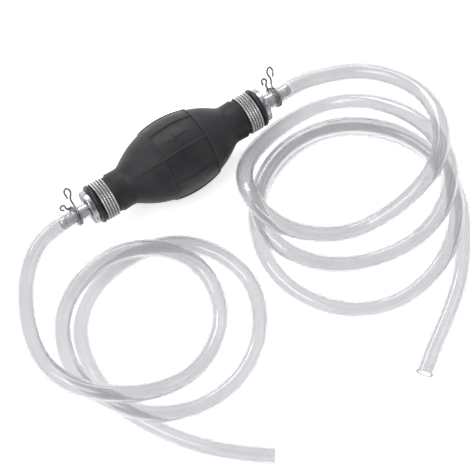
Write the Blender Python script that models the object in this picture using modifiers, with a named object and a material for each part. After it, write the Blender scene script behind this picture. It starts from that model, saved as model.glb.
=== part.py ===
"""Hand-bulb siphon: a rubber squeeze bulb with a check valve, barb and clear hose at each end.

Metres, +Z up. +X runs along the bulb to the inlet end, and water flows towards -X.
The origin is on the floor under the middle of the bulb.
"""

import math

import bmesh
import bpy
import numpy as np
from mathutils import Matrix, Vector

# Fits
GAP = 0.0003  # clearance between neighbouring pieces
RUNNING_GAP = 0.0003  # clearance round a piece that slides or turns

# Bulb
BULB_RADIUS = 0.025
BELLY_ARC_RADIUS = 0.0616  # radius of the arc that the belly follows, end to end
NECK_WALL = 0.00305
NECK_LENGTH = 0.0118
NECK_BEAD = 0.0003  # how far the moulded bead at the neck's end stands up
BULB_WALL = 0.003
NECK_BORE_RADIUS = 0.0096
NECK_TAIL_WALL = 0.0016  # the thinner part of the neck that the collar holds
RING_RIBS = (-0.0136, 0.0177)  # where the two moulded rings stand along X
RIB_HEIGHT = 0.00045
RIB_WIDTH = 0.0016
WINDOW_LENGTH = 0.054  # the part of each side that gives way under the hand
WINDOW_HEIGHT = 0.027

# Collar, O-ring and barb
COLLAR_LENGTH = 0.0089
COLLAR_WALL = 0.0018
COLLAR_RIDGES = 5
RIDGE_DEPTH = 0.0005
RIDGE_FLAT = 0.3  # share of each ridge that is its flat top
COLLAR_LIP = 0.0005
O_RING_CORD = 0.0034
FLANGE_RADIUS = 0.011
FLANGE_THICKNESS = 0.0034
FLANGE_ROUND = 0.0008
STEM_LENGTH = 0.0195
STEM_RADIUS = 0.004
STEM_TIP_RADIUS = 0.0035
STEM_TIP_LENGTH = 0.0012
BARB_BORE_RADIUS = 0.00275
BOSS_LENGTH = 0.006
BOSS_TO_SEAT = 0.002  # free space between the inlet barb's boss and the inlet seat

# Valve
VALVE_WALL = 0.0018
VALVE_LIP = 0.0013  # valve body left past the inlet retainer
SEAT_LIP = 0.0008  # valve body left past the outlet seat
SEAT_THICKNESS = 0.003
SEAT_HOLE_RADIUS = 0.004
GROOVE_DEPTH = 0.0004
GROOVE_WIDTH = 0.0012
GROOVE_COUNT = 3
WASHER_THICKNESS = 0.0012
POPPET_CLEARANCE = 0.0017  # round the poppet, for the water
POPPET_THICKNESS = 0.0015
POPPET_NOSE_RADIUS = 0.0015
POPPET_BEAD_RADIUS = 0.0024
POPPET_BEAD_LENGTH = 0.001
POPPET_STEM_RADIUS = 0.00125
SPRING_WIRE = 0.0006
SPRING_RADIUS = 0.0036
SPRING_SPACE = 0.0067  # between the poppet's back and the retainer
SPRING_TURNS = 3.5
RETAINER_THICKNESS = 0.0015
RETAINER_HOLES = 4
RETAINER_HOLE_RADIUS = 0.0017
STEM_PAST_RETAINER = 0.001

# Hoses
HOSE_RADIUS = 0.0055
HOSE_SETBACK = 0.001  # from the barb's flange to the hose's end
OUTLET_HOSE_POINTS = 46
INLET_HOSE_POINTS = 69

# Hose clamps
CLAMP_WIRE = 0.0012
CLAMP_WIRE_GAP = 0.0004  # between one turn of the wire and the next
CLAMP_SETBACK = 0.0075  # from the hose's end to the middle of the clamp
CLAMP_TURNS = 2
CLAMP_EAR_STEP = 10.0  # degrees from the tall ear round to the short one
CLAMP_EARS = {  # angle of the tall ear in degrees, then each ear's height, lean and curl
    "inlet": (28.0, (0.0115, 0.005, -0.0038), (0.0075, 0.0, 0.0034)),
    "outlet": (50.0, (0.013, 0.0, 0.0038), (0.005, -0.005, 0.0034)),
}
CLAMP_EAR_SHAPE = (  # shares of the ear's length and of its curl's width, from the foot on
    (0.2, 0.0), (0.42, 0.0), (0.66, 0.42), (0.86, 0.45), (1.0, 0.05), (0.9, -0.42),
    (0.68, -0.47), (0.5, -0.42),
)
CLAMP_RING_MARGIN = 0.02  # share of the ring's turn left for the bend into each ear

# Mesh fineness
BULB_STEPS = 40
RING_STEPS = 24
SMALL_STEPS = 16
HOLE_STEPS = 10
O_RING_STEPS = 8  # round the cord
BELLY_POINTS = (15, 9)  # along the belly's outside and inside
WALL_POINTS = (11, 7)  # along a squeezed side's outside and inside
SPRING_STEPS = 12  # in each turn
HOSE_BEVEL = 3  # rings of faces in each quarter of the hose
WIRE_BEVEL = 2
CLAMP_POINTS = 104
CLAMP_RING_POINTS = 25
MERGE_DISTANCE = 0.00001

# Worked out from the sizes above
AXIS_HEIGHT = BULB_RADIUS
NECK_RADIUS = NECK_BORE_RADIUS + NECK_WALL
NECK_TAIL_RADIUS = NECK_BORE_RADIUS + NECK_TAIL_WALL
COLLAR_RADIUS = NECK_TAIL_RADIUS + COLLAR_WALL
NECK_START = math.sqrt(
    BELLY_ARC_RADIUS**2 - (BELLY_ARC_RADIUS - BULB_RADIUS + NECK_RADIUS) ** 2
)
NECK_END = NECK_START + NECK_LENGTH
COLLAR_START = NECK_END + GAP
COLLAR_END = COLLAR_START + COLLAR_LENGTH
TAIL_END = COLLAR_END - COLLAR_LIP - GAP
O_RING_X = COLLAR_END + GAP + O_RING_CORD / 2
FLANGE_START = O_RING_X + O_RING_CORD / 2 + GAP
FLANGE_END = FLANGE_START + FLANGE_THICKNESS
BARB_TIP = FLANGE_END + STEM_LENGTH
HOSE_START = FLANGE_END + HOSE_SETBACK
CLAMP_X = HOSE_START + CLAMP_SETBACK
VALVE_RADIUS = NECK_BORE_RADIUS - GAP
VALVE_BORE = VALVE_RADIUS - VALVE_WALL
POPPET_RADIUS = VALVE_BORE - POPPET_CLEARANCE
VALVE_OUTER_END = FLANGE_START - GAP
POPPET_BACK = -(RUNNING_GAP + WASHER_THICKNESS + GAP + POPPET_THICKNESS)  # from the seat
RETAINER_TOP = POPPET_BACK - SPRING_SPACE
RETAINER_BACK = RETAINER_TOP - RETAINER_THICKNESS
INLET_SEAT_X = FLANGE_START - BOSS_LENGTH - BOSS_TO_SEAT - SEAT_THICKNESS
VALVE_INNER_END = INLET_SEAT_X + RETAINER_BACK - VALVE_LIP
OUTLET_SEAT_X = -(VALVE_INNER_END + SEAT_LIP + SEAT_THICKNESS)
NECK_BEAD_LENGTH = NECK_LENGTH / 6
CLAMP_RING_RADIUS = HOSE_RADIUS + GAP + CLAMP_WIRE / 2

# Routes that the hoses lie along after the barbs, chosen by eye on the floor, in metres
OUTLET_ROUTE = (
    (-0.096, -0.0015, 0.025), (-0.108, -0.007, 0.025), (-0.122, -0.0205, 0.0245),
    (-0.134, -0.042, 0.024), (-0.140, -0.067, 0.026), (-0.134, -0.092, 0.029),
    (-0.117, -0.111, 0.030), (-0.094, -0.122, 0.026), (-0.069, -0.123, 0.019),
    (-0.048, -0.1135, 0.012), (-0.0325, -0.098, 0.008), (-0.0255, -0.075, 0.009),
    (-0.0325, -0.053, 0.014), (-0.051, -0.038, 0.0178), (-0.074, -0.032, 0.0178),
    (-0.098, -0.0365, 0.015), (-0.1145, -0.0485, 0.013), (-0.1245, -0.0675, 0.0145),
    (-0.1265, -0.090, 0.0175), (-0.117, -0.114, 0.018), (-0.101, -0.131, 0.0165),
    (-0.079, -0.140, 0.012), (-0.054, -0.140, 0.008), (-0.030, -0.130, 0.0057),
    (-0.012, -0.111, 0.0057), (-0.005, -0.087, 0.0057), (-0.011, -0.063, 0.0057),
    (-0.026, -0.045, 0.0057), (-0.047, -0.036, 0.0057), (-0.071, -0.036, 0.0057),
    (-0.093, -0.044, 0.0057), (-0.109, -0.059, 0.0057), (-0.116, -0.080, 0.0057),
    (-0.116, -0.103, 0.0057), (-0.109, -0.126, 0.0057), (-0.097, -0.147, 0.0057),
    (-0.081, -0.167, 0.0057), (-0.062, -0.184, 0.0057), (-0.054, -0.190, 0.0057),
)
INLET_ROUTE = (
    (0.096, -0.001, 0.025), (0.109, -0.005, 0.0255), (0.127, -0.0145, 0.0275),
    (0.142, -0.032, 0.0315), (0.149, -0.055, 0.037), (0.145, -0.077, 0.0415),
    (0.1325, -0.0945, 0.0415), (0.112, -0.104, 0.035), (0.088, -0.105, 0.024),
    (0.0645, -0.100, 0.0165), (0.0435, -0.091, 0.021), (0.0275, -0.0765, 0.028),
    (0.0215, -0.0545, 0.0300), (0.029, -0.033, 0.0235), (0.050, -0.018, 0.012),
    (0.080, -0.012, 0.0057), (0.108, -0.0175, 0.0085), (0.128, -0.036, 0.0175),
    (0.138, -0.059, 0.026), (0.141, -0.082, 0.0300), (0.134, -0.105, 0.0305),
    (0.118, -0.120, 0.0255), (0.097, -0.126, 0.017), (0.074, -0.123, 0.011),
    (0.051, -0.115, 0.011), (0.032, -0.101, 0.0145), (0.021, -0.081, 0.0175),
    (0.0225, -0.059, 0.0178), (0.038, -0.041, 0.0178), (0.064, -0.031, 0.0178),
    (0.092, -0.034, 0.0178), (0.113, -0.046, 0.0178), (0.129, -0.065, 0.0178),
    (0.136, -0.088, 0.0178), (0.133, -0.112, 0.0178), (0.120, -0.132, 0.0165),
    (0.101, -0.145, 0.012), (0.077, -0.151, 0.0075), (0.054, -0.148, 0.0057),
    (0.033, -0.136, 0.0057), (0.018, -0.116, 0.0057), (0.012, -0.092, 0.0057),
    (0.017, -0.067, 0.0057), (0.031, -0.046, 0.0057), (0.053, -0.033, 0.0057),
    (0.078, -0.029, 0.0057), (0.102, -0.035, 0.0057), (0.122, -0.050, 0.0057),
    (0.135, -0.070, 0.0057), (0.140, -0.094, 0.0057), (0.136, -0.117, 0.0057),
    (0.123, -0.138, 0.0057), (0.107, -0.157, 0.0057), (0.087, -0.173, 0.0057),
    (0.062, -0.189, 0.0057), (0.050, -0.1975, 0.0057),
)


def make_collection(name):
    """A new collection in the scene."""
    collection = bpy.data.collections.new(name)
    bpy.context.scene.collection.children.link(collection)
    return collection


def make_material(name, color, roughness, metallic=0.0, alpha=1.0):
    """A plain Principled finish."""
    material = bpy.data.materials.new(name)
    material.use_nodes = True
    shader = material.node_tree.nodes["Principled BSDF"]
    shader.inputs["Base Color"].default_value = (*color, 1.0)
    shader.inputs["Roughness"].default_value = roughness
    shader.inputs["Metallic"].default_value = metallic
    shader.inputs["Alpha"].default_value = alpha
    return material


def add_part(name, mesh, material, collection):
    """One sub-part's object."""
    part = bpy.data.objects.new(name, mesh)
    if material:
        mesh.materials.append(material)
    collection.objects.link(part)
    return part


def hide_cutter(cutter):
    """Marks an object as a tool that shapes others."""
    cutter.hide_render = True
    cutter.display_type = "WIRE"


def boolean(part, cutter, operation):
    """Cuts a part with a cutter, or keeps what the two share."""
    modifier = part.modifiers.new(cutter.name, "BOOLEAN")
    modifier.operation = operation
    modifier.solver = "EXACT"
    modifier.object = cutter


def turned(name, outline, steps, material, collection, x=0.0, facing=1):
    """Turns an outline of (radius, distance) about the bulb's axis.

    The outline runs down the outer side, from the highest distance to the lowest, and a ring's
    outline then comes back up its bore. Distances run from x towards +X, or -X if facing is -1.
    """
    closed = outline[0][0] > 0
    mesh = bpy.data.meshes.new(name)
    vertices = [(radius, 0.0, distance) for radius, distance in outline]
    edges = [(i, i + 1) for i in range(len(outline) - 1)]
    if closed:
        edges.append((len(outline) - 1, 0))
    mesh.from_pydata(vertices, edges, [])
    part = add_part(name, mesh, material, collection)
    part.location = (x, 0.0, AXIS_HEIGHT)
    part.rotation_euler = (0.0, facing * math.pi / 2, 0.0)
    screw = part.modifiers.new("turn", "SCREW")
    screw.steps = steps
    screw.render_steps = steps
    screw.use_merge_vertices = True
    screw.merge_threshold = MERGE_DISTANCE
    screw.use_smooth_shade = True
    return part


def belly_radius(x):
    """The belly's outer radius, a circular arc about a centre far below the axis."""
    return BULB_RADIUS - BELLY_ARC_RADIUS + math.sqrt(BELLY_ARC_RADIUS**2 - x**2)


def belly_outside(end, count):
    """Outer outline of the belly from +end to -end, with the two ring ribs."""
    plain = list(np.linspace(end, -end, count))
    for rib in RING_RIBS:
        plain = [x for x in plain if abs(x - rib) > RIB_WIDTH]
    points = [(belly_radius(x), x) for x in plain]
    for rib in RING_RIBS:
        half = RIB_WIDTH / 2
        for offset, height in ((-half, 0), (-half / 2, 1), (half / 2, 1), (half, 0)):
            x = rib + offset
            points.append((belly_radius(x) + height * RIB_HEIGHT, x))
    return sorted(points, key=lambda point: -point[1])


def belly_inside(end, count):
    """Inner outline of the belly from -end to +end."""
    inside = []
    for x in np.linspace(-end, end, count):
        inside.append((max(belly_radius(x) - BULB_WALL, NECK_BORE_RADIUS), x))
    return inside


def neck_outside():
    """Outer outline of the neck from its hidden tail to the belly."""
    return [
        (NECK_TAIL_RADIUS, TAIL_END),
        (NECK_TAIL_RADIUS, NECK_END),
        (NECK_RADIUS, NECK_END),
        (NECK_RADIUS + NECK_BEAD, NECK_END - NECK_BEAD_LENGTH / 2),
        (NECK_RADIUS, NECK_END - NECK_BEAD_LENGTH),
    ]


def window_prism(name, side, margin, collection):
    """An oval prism along Y that bounds one squeezed side of the bulb."""
    mesh = bpy.data.meshes.new(name)
    shape = bmesh.new()
    near = NECK_BORE_RADIUS
    far = BULB_RADIUS * 1.5
    bmesh.ops.create_cone(
        shape, cap_ends=True, segments=BULB_STEPS, radius1=1.0, radius2=1.0, depth=far - near
    )
    turn = Matrix.Rotation(math.pi / 2, 4, "X")
    bmesh.ops.transform(shape, matrix=turn, verts=shape.verts)
    size = Matrix.Diagonal((WINDOW_LENGTH / 2 - margin, 1.0, WINDOW_HEIGHT / 2 - margin, 1.0))
    bmesh.ops.transform(shape, matrix=size, verts=shape.verts)
    shape.to_mesh(mesh)
    shape.free()
    prism = add_part(name, mesh, None, collection)
    prism.location = (0.0, side * (near + far) / 2, AXIS_HEIGHT)
    hide_cutter(prism)
    return prism


def make_bulb(material, parts, cutters):
    """The rubber moulding: belly and two necks, with its two squeezed sides left open."""
    outside, inside = BELLY_POINTS
    end = neck_outside()
    outline = end + belly_outside(NECK_START, outside)
    outline += [(radius, -x) for radius, x in reversed(end)]
    outline += [(NECK_BORE_RADIUS, -TAIL_END)]
    outline += belly_inside(NECK_START, inside)
    outline += [(NECK_BORE_RADIUS, TAIL_END)]
    bulb = turned("bulb", outline, BULB_STEPS, material, parts)
    for name, side in (("front_window", -1), ("back_window", 1)):
        boolean(bulb, window_prism(name, side, 0.0, cutters), "DIFFERENCE")


def make_squeeze_walls(material, parts, cutters):
    """The two sides of the belly that move in under the hand."""
    reach = WINDOW_LENGTH / 2 + BULB_WALL
    outside, inside = WALL_POINTS
    outline = belly_outside(reach, outside) + belly_inside(reach, inside)
    for name, side in (("front", -1), ("back", 1)):
        wall = turned(f"{name}_squeeze_wall", outline, BULB_STEPS, material, parts)
        boolean(wall, window_prism(f"{name}_wall_edge", side, GAP, cutters), "INTERSECT")


def make_collar(end, facing, material, parts):
    """The ridged ring that clamps the neck's tail on the valve body."""
    ridge = COLLAR_LENGTH / COLLAR_RIDGES
    outline = []
    for number in range(COLLAR_RIDGES):
        top = COLLAR_END - number * ridge
        outline.append((COLLAR_RADIUS - RIDGE_DEPTH, top))
        outline.append((COLLAR_RADIUS, top - ridge * (1 - RIDGE_FLAT) / 2))
        outline.append((COLLAR_RADIUS, top - ridge * (1 + RIDGE_FLAT) / 2))
    outline += [
        (COLLAR_RADIUS - RIDGE_DEPTH, COLLAR_START),
        (NECK_TAIL_RADIUS + GAP, COLLAR_START),
        (NECK_TAIL_RADIUS + GAP, TAIL_END + GAP),
        (VALVE_RADIUS + GAP, TAIL_END + GAP),
        (VALVE_RADIUS + GAP, COLLAR_END),
    ]
    turned(f"{end}_collar", outline, RING_STEPS, material, parts, facing=facing)


def make_o_ring(end, facing, material, parts):
    """The O-ring between the collar and the barb's flange."""
    cord = O_RING_CORD / 2
    middle = VALVE_RADIUS + GAP + cord
    outline = []
    for number in range(O_RING_STEPS):
        angle = 2 * math.pi * number / O_RING_STEPS
        outline.append((middle + cord * math.cos(angle), O_RING_X - cord * math.sin(angle)))
    turned(f"{end}_o_ring", outline, RING_STEPS, material, parts, facing=facing)


def make_barb(end, facing, material, parts):
    """The flanged barb: a boss in the valve body, a flange and a stem inside the hose."""
    boss = VALVE_BORE - GAP
    outline = [
        (STEM_TIP_RADIUS, BARB_TIP),
        (STEM_RADIUS, BARB_TIP - STEM_TIP_LENGTH),
        (STEM_RADIUS, FLANGE_END),
        (FLANGE_RADIUS - FLANGE_ROUND, FLANGE_END),
        (FLANGE_RADIUS, FLANGE_END - FLANGE_ROUND),
        (FLANGE_RADIUS, FLANGE_START + FLANGE_ROUND),
        (FLANGE_RADIUS - FLANGE_ROUND, FLANGE_START),
        (boss, FLANGE_START),
        (boss, FLANGE_START - BOSS_LENGTH),
        (BARB_BORE_RADIUS, FLANGE_START - BOSS_LENGTH),
        (BARB_BORE_RADIUS, BARB_TIP),
    ]
    turned(f"{end}_barb", outline, RING_STEPS, material, parts, facing=facing)


def make_valve_body(end, facing, seat, material, parts):
    """The tube inside the neck, with the wall that the valve closes on."""
    high = max(facing * VALVE_OUTER_END, facing * VALVE_INNER_END)
    low = min(facing * VALVE_OUTER_END, facing * VALVE_INNER_END)
    outline = [(VALVE_RADIUS, high)]
    for number in range(GROOVE_COUNT):
        middle = facing * (NECK_START + NECK_LENGTH * (number + 1) / (GROOVE_COUNT + 1))
        groove = [(0, 1), (-GROOVE_DEPTH, 1), (-GROOVE_DEPTH, -1), (0, -1)]
        for depth, way in groove:
            outline.append((VALVE_RADIUS + depth, middle + way * GROOVE_WIDTH / 2))
    outline = sorted(outline, key=lambda point: -point[1])
    outline += [
        (VALVE_RADIUS, low),
        (VALVE_BORE, low),
        (VALVE_BORE, seat),
        (SEAT_HOLE_RADIUS, seat),
        (SEAT_HOLE_RADIUS, seat + SEAT_THICKNESS),
        (VALVE_BORE, seat + SEAT_THICKNESS),
        (VALVE_BORE, high),
    ]
    turned(f"{end}_valve_body", outline, RING_STEPS, material, parts)


def make_poppet(end, seat, material, parts):
    """The disc that closes the seat, with the nose that holds its washer and a guide stem."""
    head = POPPET_BACK + POPPET_THICKNESS
    outline = [
        (0.0, POPPET_BEAD_LENGTH),
        (POPPET_BEAD_RADIUS, POPPET_BEAD_LENGTH),
        (POPPET_BEAD_RADIUS, 0.0),
        (POPPET_NOSE_RADIUS, 0.0),
        (POPPET_NOSE_RADIUS, head),
        (POPPET_RADIUS, head),
        (POPPET_RADIUS, POPPET_BACK),
        (POPPET_STEM_RADIUS, POPPET_BACK),
        (POPPET_STEM_RADIUS, RETAINER_BACK - STEM_PAST_RETAINER),
        (0.0, RETAINER_BACK - STEM_PAST_RETAINER),
    ]
    turned(f"{end}_poppet", outline, SMALL_STEPS, material, parts, x=seat)


def make_washer(end, seat, material, parts):
    """The rubber washer on the poppet's face."""
    top = -RUNNING_GAP
    hole = POPPET_NOSE_RADIUS + GAP
    outline = [
        (POPPET_RADIUS, top),
        (POPPET_RADIUS, top - WASHER_THICKNESS),
        (hole, top - WASHER_THICKNESS),
        (hole, top),
    ]
    turned(f"{end}_poppet_washer", outline, SMALL_STEPS, material, parts, x=seat)


def make_retainer(end, seat, material, parts, cutters):
    """The drilled disc that the spring stands on and the stem slides through."""
    rim = VALVE_BORE - GAP
    guide = POPPET_STEM_RADIUS + RUNNING_GAP
    outline = [
        (rim, RETAINER_TOP),
        (rim, RETAINER_BACK),
        (guide, RETAINER_BACK),
        (guide, RETAINER_TOP),
    ]
    retainer = turned(f"{end}_spring_retainer", outline, SMALL_STEPS, material, parts, x=seat)
    mesh = bpy.data.meshes.new(f"{end}_flow_holes")
    shape = bmesh.new()
    for number in range(RETAINER_HOLES):
        angle = 2 * math.pi * (number + 0.5) / RETAINER_HOLES
        middle = (rim + guide) / 2
        place = Matrix.Translation((0.0, middle * math.cos(angle), middle * math.sin(angle)))
        bmesh.ops.create_cone(
            shape, cap_ends=True, segments=HOLE_STEPS, radius1=RETAINER_HOLE_RADIUS,
            radius2=RETAINER_HOLE_RADIUS, depth=RETAINER_THICKNESS * 3,
            matrix=place @ Matrix.Rotation(math.pi / 2, 4, "Y"),
        )
    shape.to_mesh(mesh)
    shape.free()
    holes = add_part(f"{end}_flow_holes", mesh, None, cutters)
    holes.location = (seat + (RETAINER_TOP + RETAINER_BACK) / 2, 0.0, AXIS_HEIGHT)
    hide_cutter(holes)
    boolean(retainer, holes, "DIFFERENCE")


def wire(name, points, diameter, material, collection, bevel=WIRE_BEVEL):
    """A round wire or tube along points, as a closed mesh."""
    curve = bpy.data.curves.new(name, "CURVE")
    curve.dimensions = "3D"
    curve.bevel_depth = diameter / 2
    curve.bevel_resolution = bevel
    curve.use_fill_caps = True
    spline = curve.splines.new("POLY")
    spline.points.add(len(points) - 1)
    for target, point in zip(spline.points, points):
        target.co = (*point, 1.0)
    source = bpy.data.objects.new(f"{name}_curve", curve)
    collection.objects.link(source)
    bpy.context.view_layer.update()
    evaluated = source.evaluated_get(bpy.context.evaluated_depsgraph_get())
    mesh = bpy.data.meshes.new_from_object(evaluated)
    place = source.matrix_world.copy()
    bpy.data.objects.remove(source)
    bpy.data.curves.remove(curve)
    shape = bmesh.new()
    shape.from_mesh(mesh)
    bmesh.ops.remove_doubles(shape, verts=shape.verts, dist=MERGE_DISTANCE)
    bmesh.ops.recalc_face_normals(shape, faces=shape.faces)
    shape.to_mesh(mesh)
    shape.free()
    mesh.name = name
    mesh.materials.clear()
    mesh.shade_smooth()
    part = add_part(name, mesh, material, collection)
    part.matrix_world = place
    return part


def make_valve_spring(end, seat, material, parts):
    """The coil that holds the poppet shut."""
    top = POPPET_BACK - GAP - SPRING_WIRE / 2
    bottom = RETAINER_TOP + GAP + SPRING_WIRE / 2
    count = int(SPRING_TURNS * SPRING_STEPS) + 1
    share = np.linspace(0.0, 1.0, count)
    angle = 2 * np.pi * SPRING_TURNS * share
    x = seat + top + (bottom - top) * share
    points = np.stack(
        [x, SPRING_RADIUS * np.cos(angle), AXIS_HEIGHT + SPRING_RADIUS * np.sin(angle)], axis=1
    )
    wire(f"{end}_valve_spring", points.tolist(), SPRING_WIRE, material, parts)


def smooth_curve(points, count):
    """Evenly spaced points on the natural cubic spline through the given ones."""
    points = np.array(points, dtype=float)
    chords = np.linalg.norm(np.diff(points, axis=0), axis=1)
    knots = np.concatenate([[0.0], np.cumsum(np.sqrt(chords))])
    steps = np.diff(knots)
    size = len(knots)
    system = np.eye(size)
    target = np.zeros((size, 3))
    slopes = np.diff(points, axis=0) / steps[:, None]
    for i in range(1, size - 1):
        system[i, i - 1 : i + 2] = steps[i - 1], 2 * (steps[i - 1] + steps[i]), steps[i]
        target[i] = 6 * (slopes[i] - slopes[i - 1])
    bend = np.linalg.solve(system, target)
    fine = np.linspace(0.0, knots[-1], 20 * size)
    span = np.clip(np.searchsorted(knots, fine, side="right") - 1, 0, size - 2)
    step = steps[span][:, None]
    after = (knots[span + 1] - fine)[:, None]
    before = (fine - knots[span])[:, None]
    line = (bend[span] * after**3 + bend[span + 1] * before**3) / (6 * step)
    line += (points[span] / step - bend[span] * step / 6) * after
    line += (points[span + 1] / step - bend[span + 1] * step / 6) * before
    length = np.concatenate([[0.0], np.cumsum(np.linalg.norm(np.diff(line, axis=0), axis=1))])
    even = np.linspace(0.0, length[-1], count)
    return np.stack([np.interp(even, length, line[:, i]) for i in range(3)], axis=1)


def make_hose(end, facing, route, count, material, parts, cutters):
    """The clear hose: straight over the barb's stem, then along its route on the floor."""
    straight = [
        (facing * x, 0.0, AXIS_HEIGHT) for x in np.linspace(HOSE_START, BARB_TIP, 3)
    ]
    points = smooth_curve(straight + list(route), count)
    hose = wire(f"{end}_hose", points.tolist(), HOSE_RADIUS * 2, material, parts, HOSE_BEVEL)
    mesh = bpy.data.meshes.new(f"{end}_hose_socket")
    shape = bmesh.new()
    radius = STEM_RADIUS + GAP
    depth = 2 * (BARB_TIP - HOSE_START + GAP)
    bmesh.ops.create_cone(
        shape, cap_ends=True, segments=SMALL_STEPS, radius1=radius, radius2=radius, depth=depth,
        matrix=Matrix.Rotation(math.pi / 2, 4, "Y"),
    )
    shape.to_mesh(mesh)
    shape.free()
    socket = add_part(f"{end}_hose_socket", mesh, None, cutters)
    socket.location = (facing * HOSE_START, 0.0, AXIS_HEIGHT)
    hide_cutter(socket)
    boolean(hose, socket, "DIFFERENCE")


def ear_points(angle, foot, height, lean, curl):
    """A clamp's ear, from its foot on the ring up its stem and round its curl to the wire's end.

    Each point is (angle in degrees, radius, distance along the hose). The ear rises by height and
    leans along the hose by lean. Its curl is that wide between the wire's middles, and turns the
    other way if it is negative.
    """
    length = math.hypot(height, lean)
    points = []
    for up, across in CLAMP_EAR_SHAPE:
        radius = CLAMP_RING_RADIUS + up * height - across * curl * lean / length
        points.append((angle, radius, foot + up * lean + across * curl * height / length))
    return points


def make_clamp(end, facing, material, parts):
    """The spring clamp: one wire, twice round the hose, with each end curled into an ear."""
    first_angle, tall, short = CLAMP_EARS[end]
    turn = CLAMP_TURNS * 360.0 + CLAMP_EAR_STEP
    foot = (CLAMP_WIRE + CLAMP_WIRE_GAP) * turn / 360.0 / 2
    up = ear_points(first_angle, foot, *tall)
    shares = np.linspace(CLAMP_RING_MARGIN, 1 - CLAMP_RING_MARGIN, CLAMP_RING_POINTS)
    round_hose = [
        (first_angle + turn * share, CLAMP_RING_RADIUS, foot * (1 - 2 * share)) for share in shares
    ]
    down = ear_points(first_angle + turn, -foot, *short)
    points = []
    for angle, radius, side in up[::-1] + round_hose + down:
        turned_to = math.radians(angle)
        across = radius * math.cos(turned_to)
        height = AXIS_HEIGHT + radius * math.sin(turned_to)
        points.append((facing * CLAMP_X + side, across, height))
    line = smooth_curve(points, CLAMP_POINTS).tolist()
    clamp = wire(f"{end}_hose_clamp", line, CLAMP_WIRE, material, parts)
    centre = Vector((facing * CLAMP_X, 0.0, AXIS_HEIGHT))
    clamp.data.transform(Matrix.Translation(-centre))
    clamp.location = centre


def main():
    for old in list(bpy.data.objects):
        bpy.data.objects.remove(old)
    parts = make_collection("hand_bulb_siphon")
    cutters = make_collection("cutters")
    rubber = make_material("black_rubber", (0.045, 0.045, 0.048), 0.55)
    seal_rubber = make_material("seal_rubber", (0.012, 0.012, 0.012), 0.5)
    aluminium = make_material("aluminium", (0.78, 0.78, 0.8), 0.3, metallic=1.0)
    steel = make_material("spring_steel", (0.42, 0.41, 0.4), 0.35, metallic=1.0)
    acetal = make_material("white_acetal", (0.8, 0.8, 0.78), 0.45)
    vinyl = make_material("clear_vinyl", (0.72, 0.71, 0.74), 0.15, alpha=0.5)

    make_bulb(rubber, parts, cutters)
    make_squeeze_walls(rubber, parts, cutters)
    ends = (
        ("inlet", 1, INLET_SEAT_X, INLET_ROUTE, INLET_HOSE_POINTS),
        ("outlet", -1, OUTLET_SEAT_X, OUTLET_ROUTE, OUTLET_HOSE_POINTS),
    )
    for end, facing, seat, route, count in ends:
        make_collar(end, facing, aluminium, parts)
        make_o_ring(end, facing, seal_rubber, parts)
        make_barb(end, facing, aluminium, parts)
        make_valve_body(end, facing, seat, aluminium, parts)
        make_poppet(end, seat, acetal, parts)
        make_washer(end, seat, seal_rubber, parts)
        make_retainer(end, seat, acetal, parts, cutters)
        make_valve_spring(end, seat, steel, parts)
        make_hose(end, facing, route, count, vinyl, parts, cutters)
        make_clamp(end, facing, steel, parts)


main()
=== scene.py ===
# %% [markdown]
# # A hand siphon, built piece by piece
#
# A siphon pump of this kind has a rubber bulb in the middle. At each end of it sit a valve, a
# ridged aluminium collar, an O-ring and a barb, and a clear hose goes over each barb. One squeeze
# of the bulb draws water in at one end and pushes it out at the other.
#
# The CAD model already gives every piece its size and place, so this lesson only makes what the
# eye sees: finer shapes and real finishes. Every size below is in metres, +X runs along the bulb
# to the inlet end, and +Z is up.

# %% Load the CAD model as a fixed frame
import math

import bmesh
import bpy
import numpy as np
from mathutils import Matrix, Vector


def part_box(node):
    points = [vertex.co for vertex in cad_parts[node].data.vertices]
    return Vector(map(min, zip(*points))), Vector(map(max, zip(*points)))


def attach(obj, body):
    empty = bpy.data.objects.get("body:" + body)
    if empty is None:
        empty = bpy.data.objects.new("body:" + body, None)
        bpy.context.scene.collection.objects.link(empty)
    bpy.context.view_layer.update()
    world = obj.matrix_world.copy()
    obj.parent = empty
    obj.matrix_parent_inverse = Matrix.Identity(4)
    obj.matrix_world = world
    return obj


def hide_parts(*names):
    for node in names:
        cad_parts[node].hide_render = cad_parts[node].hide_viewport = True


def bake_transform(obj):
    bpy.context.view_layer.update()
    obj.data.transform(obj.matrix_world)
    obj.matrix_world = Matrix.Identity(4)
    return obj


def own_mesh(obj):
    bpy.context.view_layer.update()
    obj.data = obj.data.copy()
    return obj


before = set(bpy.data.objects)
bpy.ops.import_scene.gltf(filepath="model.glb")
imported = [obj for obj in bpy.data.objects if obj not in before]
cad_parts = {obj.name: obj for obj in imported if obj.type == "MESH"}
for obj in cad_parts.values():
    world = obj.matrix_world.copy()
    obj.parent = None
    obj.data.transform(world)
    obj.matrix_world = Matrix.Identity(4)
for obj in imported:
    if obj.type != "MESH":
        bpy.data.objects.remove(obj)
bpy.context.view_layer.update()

# %% [markdown]
# ## The sizes that the pieces share
#
# A piece that fits into another takes its size from the same named value. The bulb lies along
# the X axis at the height of its own radius, because it rests on the floor.

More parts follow.
